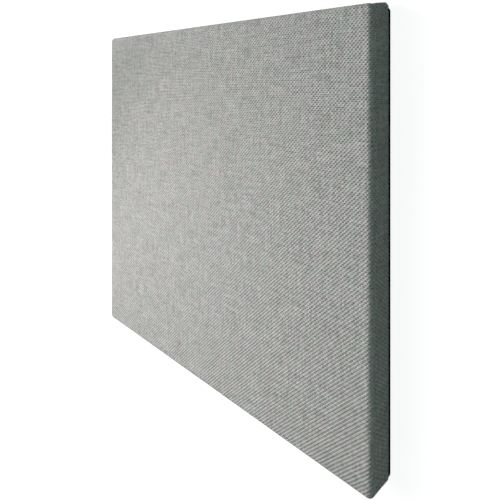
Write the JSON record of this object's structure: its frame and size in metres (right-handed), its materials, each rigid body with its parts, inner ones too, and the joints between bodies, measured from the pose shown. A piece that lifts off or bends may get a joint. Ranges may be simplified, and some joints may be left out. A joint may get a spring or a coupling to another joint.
{
  "type": "fabric-wrapped felt acoustic wall panel",
  "caption": "Square sound-absorbing wall panel: a felt board wrapped in woven grey cloth, with folded corner pleats and a thin black felt back.",
  "frame": {"origin": "middle of the back, on the surface that the panel lies on", "axes": "+Z out of the front face, +X across the width, +Y up the height of the panel as it hangs"},
  "size_m": [0.3048, 0.3094, 0.0254],
  "materials": {
    "board_felt": "pressed felt board, matt, hidden",
    "woven_cloth": "coarse plain-woven heather grey cloth, matt",
    "black_felt": "thin black felt, matt"
  },
  "bodies": {
    "root": {"felt_core": "board_felt", "cloth_wrap": "woven_cloth", "back_sheet": "black_felt"}
  },
  "joints": []
}
